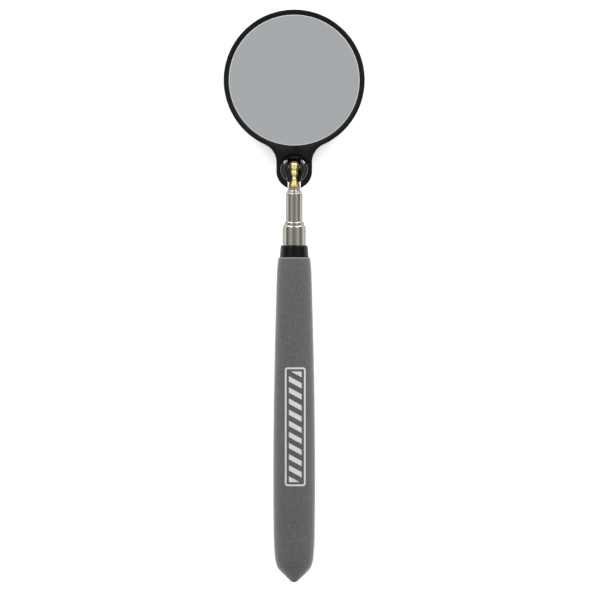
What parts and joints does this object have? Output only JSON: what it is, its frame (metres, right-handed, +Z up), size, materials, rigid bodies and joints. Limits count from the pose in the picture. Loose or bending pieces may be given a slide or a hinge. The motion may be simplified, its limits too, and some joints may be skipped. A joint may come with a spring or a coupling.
{
  "type": "telescoping inspection mirror",
  "caption": "Round inspection mirror in a plastic frame on a double-pivot ball swivel, carried by nested telescoping metal tubes in a tapered soft handle.",
  "frame": {"origin": "on the ground, under the middle of the tool's length and width as it lies with its mirror facing up", "axes": "+Y along the tool from the handle's tip to the mirror, +Z up out of the mirror's face, +X across the mirror"},
  "size_m": [0.06, 0.2436, 0.0179],
  "materials": {
    "frame_plastic": "satin black, finely grained",
    "mirror_glass": "silvered at the back, polished",
    "foam_tape": "matte foam tape",
    "ball_plastic": "glossy black",
    "pin_steel": "ground",
    "washer_plastic": "matte black",
    "stud_brass": "turned and polished",
    "tube_nickel": "nickel plated, lightly drawn",
    "spring_bronze": "rolled sheet",
    "plug_plastic": "matte black",
    "collar_plastic": "semi-gloss black",
    "grip_vinyl": "matte grey, finely speckled"
  },
  "bodies": {
    "handle": {"grip": "grip_vinyl", "handle_core": "plug_plastic", "collar": "collar_plastic", "end_plug": "plug_plastic", "tube_plug": "plug_plastic", "tube_1": "tube_nickel"},
    "second_tube": {"tube_2": "tube_nickel", "friction_spring_2": "spring_bronze"},
    "third_tube": {"tube_3": "tube_nickel", "friction_spring_3": "spring_bronze"},
    "fourth_tube": {"tube_4": "tube_nickel", "friction_spring_4": "spring_bronze"},
    "tip_sleeve": {"friction_spring_5": "spring_bronze"},
    "tip_tube": {"tube_5": "tube_nickel", "tip_ferrule": "tube_nickel", "ball_stud": "stud_brass"},
    "ball": {"swivel_ball": "ball_plastic", "pivot_pin": "pin_steel", "pivot_washers": "washer_plastic"},
    "head": {"mirror_frame": "frame_plastic", "mirror_glass": "mirror_glass", "glass_pad": "foam_tape"}
  },
  "joints": [
    {"name": "extend_second_tube", "type": "slide", "parent": "handle", "child": "second_tube", "axis": [0, 1, 0], "range_m": [0, 0.1066]},
    {"name": "extend_third_tube", "type": "slide", "parent": "second_tube", "child": "third_tube", "axis": [0, 1, 0], "range_m": [0, 0.1085]},
    {"name": "extend_fourth_tube", "type": "slide", "parent": "third_tube", "child": "fourth_tube", "axis": [0, 1, 0], "range_m": [0, 0.1208]},
    {"name": "extend_tip_tube", "type": "slide", "parent": "fourth_tube", "child": "tip_sleeve", "axis": [0, 1, 0], "range_m": [0, 0.1223]},
    {"name": "turn_head", "type": "hinge", "parent": "tip_sleeve", "child": "tip_tube", "pos_m": [0, 0.04, 0.00893], "axis": [0, 1, 0], "continuous": true},
    {"name": "swing_ball_on_stud", "type": "hinge", "parent": "tip_tube", "child": "ball", "pos_m": [0, 0.055, 0.00893], "axis": [1, 0, 0], "range_deg": [0, 90]},
    {"name": "tilt_frame_on_ball", "type": "hinge", "parent": "ball", "child": "head", "pos_m": [0, 0.0538, 0.00893], "axis": [1, 0, 0], "range_deg": [-45, 45]}
  ]
}
